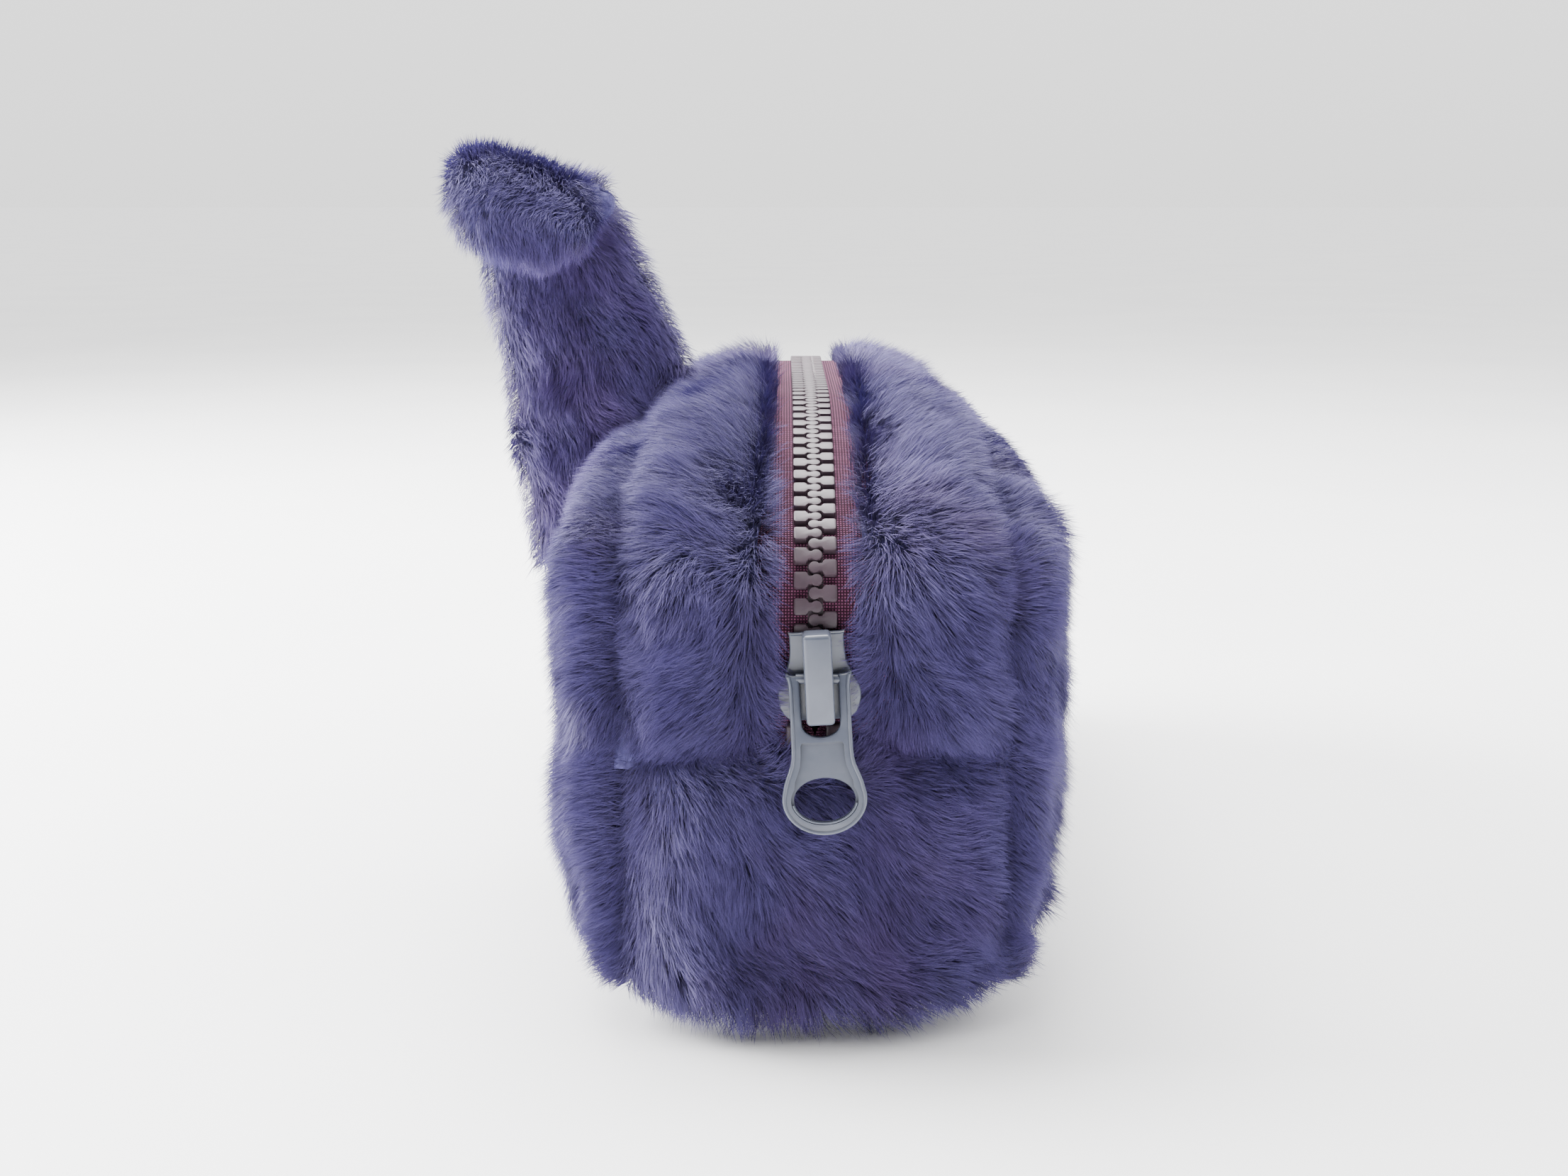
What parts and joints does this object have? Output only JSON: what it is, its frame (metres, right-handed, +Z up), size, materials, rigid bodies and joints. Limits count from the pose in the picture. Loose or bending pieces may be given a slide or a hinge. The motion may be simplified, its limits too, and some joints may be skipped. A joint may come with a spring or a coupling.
{
  "type": "moving mouth puppet",
  "caption": "Box-shaped faux-fur pouch whose zip is the mouth: two lips, a locking slider with a hanging pull, and one soft ear folded over at its tip.",
  "frame": {"origin": "middle of the flat underside that the pouch stands on", "axes": "+Z up, +Y from the end where the closed slider sits to the far end, +X to the right seen from the slider's end"},
  "size_m": [0.1041, 0.1868, 0.1292],
  "materials": {
    "fur": "short brushed pile",
    "wadding": "felted fibre",
    "lining": "plain woven",
    "tape": "woven tape",
    "teeth": "moulded",
    "metal": "satin enamel",
    "steel": "spring strip"
  },
  "bodies": {
    "bag": {"base_gusset": "fur", "left_side_lower": "fur", "right_side_lower": "fur", "base_wadding": "wadding", "base_lining": "lining", "bottom_stop": "teeth"},
    "left_lip": {"left_side_upper": "fur", "left_strip": "fur", "left_wadding": "wadding", "left_lining": "lining", "left_tape": "tape", "left_teeth": "teeth", "left_top_stop": "teeth"},
    "right_lip": {"right_side_upper": "fur", "right_strip": "fur", "right_wadding": "wadding", "right_lining": "lining", "right_tape": "tape", "right_teeth": "teeth", "right_top_stop": "teeth"},
    "slider": {"slider_body": "metal", "slider_cap": "metal"},
    "lock": {"lock_spring": "steel"},
    "pull": {"pull_tab": "metal"},
    "ear": {"ear_front": "fur", "ear_back": "fur", "ear_wadding": "wadding"},
    "ear_tip": {"ear_tip_front": "fur", "ear_tip_back": "fur"}
  },
  "joints": [
    {"name": "slider_travel", "type": "hinge", "parent": "bag", "child": "slider", "pos_m": [0, 0, 0.0535], "axis": [-1, 0, 0], "range_deg": [0, 180]},
    {"name": "left_lip_open", "type": "hinge", "parent": "bag", "child": "left_lip", "pos_m": [-0.039, 0, 0.042], "axis": [0, -1, 0], "range_deg": [0, 15], "deforming": ["left_tape", "left_teeth", "left_top_stop"]},
    {"name": "right_lip_open", "type": "hinge", "parent": "bag", "child": "right_lip", "pos_m": [0.039, 0, 0.042], "axis": [0, 1, 0], "range_deg": [0, 15], "deforming": ["right_tape", "right_teeth", "right_top_stop"]},
    {"name": "pull_swing", "type": "hinge", "parent": "slider", "child": "pull", "pos_m": [0, -0.0903, 0.0535], "axis": [-1, 0, 0], "range_deg": [0, 160]},
    {"name": "lock_lift", "type": "slide", "parent": "slider", "child": "lock", "axis": [0, -1, 0], "range_m": [0, 0.00025]},
    {"name": "ear_flex", "type": "hinge", "parent": "left_lip", "child": "ear", "pos_m": [-0.0355, -0.009, 0.079], "axis": [0, -1, 0], "range_deg": [-8, 10], "stiffness_Nm_per_rad": 0.1},
    {"name": "ear_tip_flop", "type": "hinge", "parent": "ear", "child": "ear_tip", "pos_m": [-0.05, -0.0152, 0.1245], "axis": [-1, 0, 0], "range_deg": [0, 60]}
  ],
  "couplings": [
    {"joint": "left_lip_open", "follows": "slider_travel", "ratio": 0.0833},
    {"joint": "right_lip_open", "follows": "slider_travel", "ratio": 0.0833},
    {"joint": "lock_lift", "follows": "pull_swing", "m_per_rad": 0.0000895}
  ]
}
